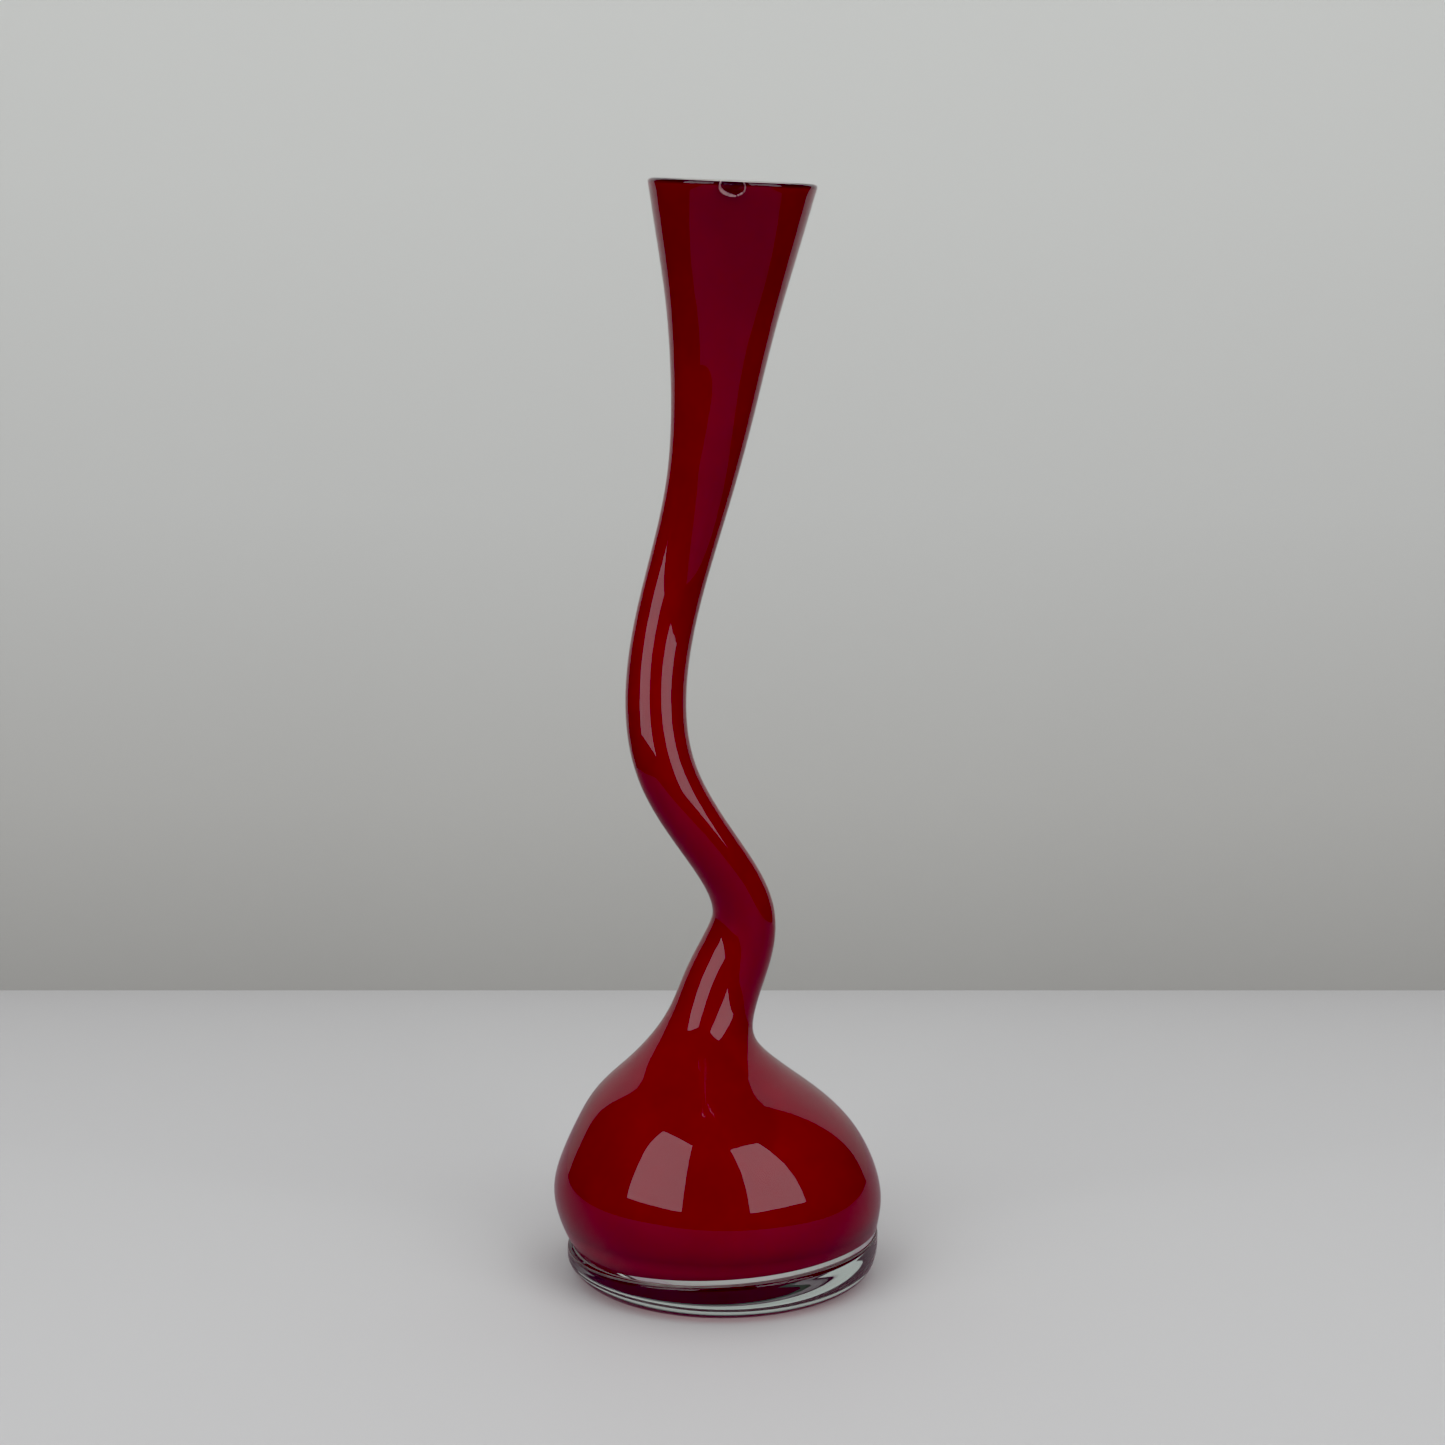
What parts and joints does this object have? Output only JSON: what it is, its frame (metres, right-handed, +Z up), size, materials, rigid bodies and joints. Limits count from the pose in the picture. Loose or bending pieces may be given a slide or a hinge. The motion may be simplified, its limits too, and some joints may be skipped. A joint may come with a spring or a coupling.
{
  "type": "hand blown glass vase",
  "caption": "Free-standing blown glass vase with a low round belly, a corkscrew neck and a leaning trumpet mouth, on a thick clear foot.",
  "frame": {"origin": "middle of the clear foot's underside, on the surface that the vase stands on", "axes": "+Z up through the belly to the mouth; -Y towards the front, the side that the mouth leans to; +X to the right seen from the front"},
  "size_m": [0.1002, 0.0999, 0.3335],
  "materials": {
    "clear_foot_glass": "clear, fire polished, faint green tint",
    "clear_casing_glass": "clear, fire polished gloss",
    "red_glass": "opaque deep red, gloss",
    "opal_glass": "opaque white, gloss"
  },
  "bodies": {
    "root": {"clear_foot": "clear_foot_glass", "clear_casing": "clear_casing_glass", "red_layer": "red_glass", "opal_lining": "opal_glass"}
  },
  "joints": []
}
